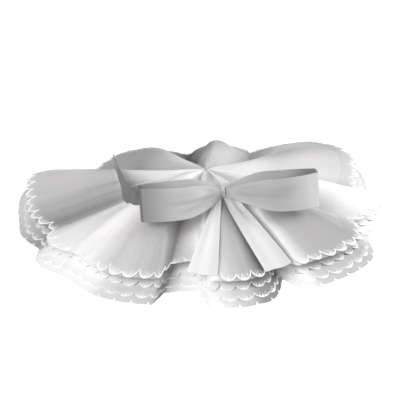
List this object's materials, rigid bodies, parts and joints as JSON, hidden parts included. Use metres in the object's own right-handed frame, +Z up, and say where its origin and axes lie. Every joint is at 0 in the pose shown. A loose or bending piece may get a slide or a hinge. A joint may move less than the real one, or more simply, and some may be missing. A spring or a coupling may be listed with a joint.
{
  "type": "ruffled mini skirt",
  "caption": "Flared two-tier mini skirt with deep flutes, scalloped lace hems, a hip sash and a front bow with tails, held open in its worn pose.",
  "frame": {"origin": "middle of the drawn-in waist opening, level with its rim", "axes": "+Z up out of the waist, -Y towards the front where the bow is, +X towards the wearer's left"},
  "size_m": [0.6945, 0.6173, 0.1652],
  "materials": {
    "cloth": "white satin-weave cloth",
    "lace": "white lace edging",
    "ribbon": "pale grey satin ribbon"
  },
  "bodies": {
    "root": {"upper_front_panel": "cloth", "upper_back_panel": "cloth", "lower_front_panel": "cloth", "lower_back_panel": "cloth", "upper_hem_lace": "lace", "lower_hem_lace": "lace", "sash": "ribbon", "bow_loop_left": "ribbon", "bow_loop_right": "ribbon", "bow_knot": "ribbon", "bow_tail_left": "ribbon", "bow_tail_right": "ribbon"}
  },
  "joints": []
}
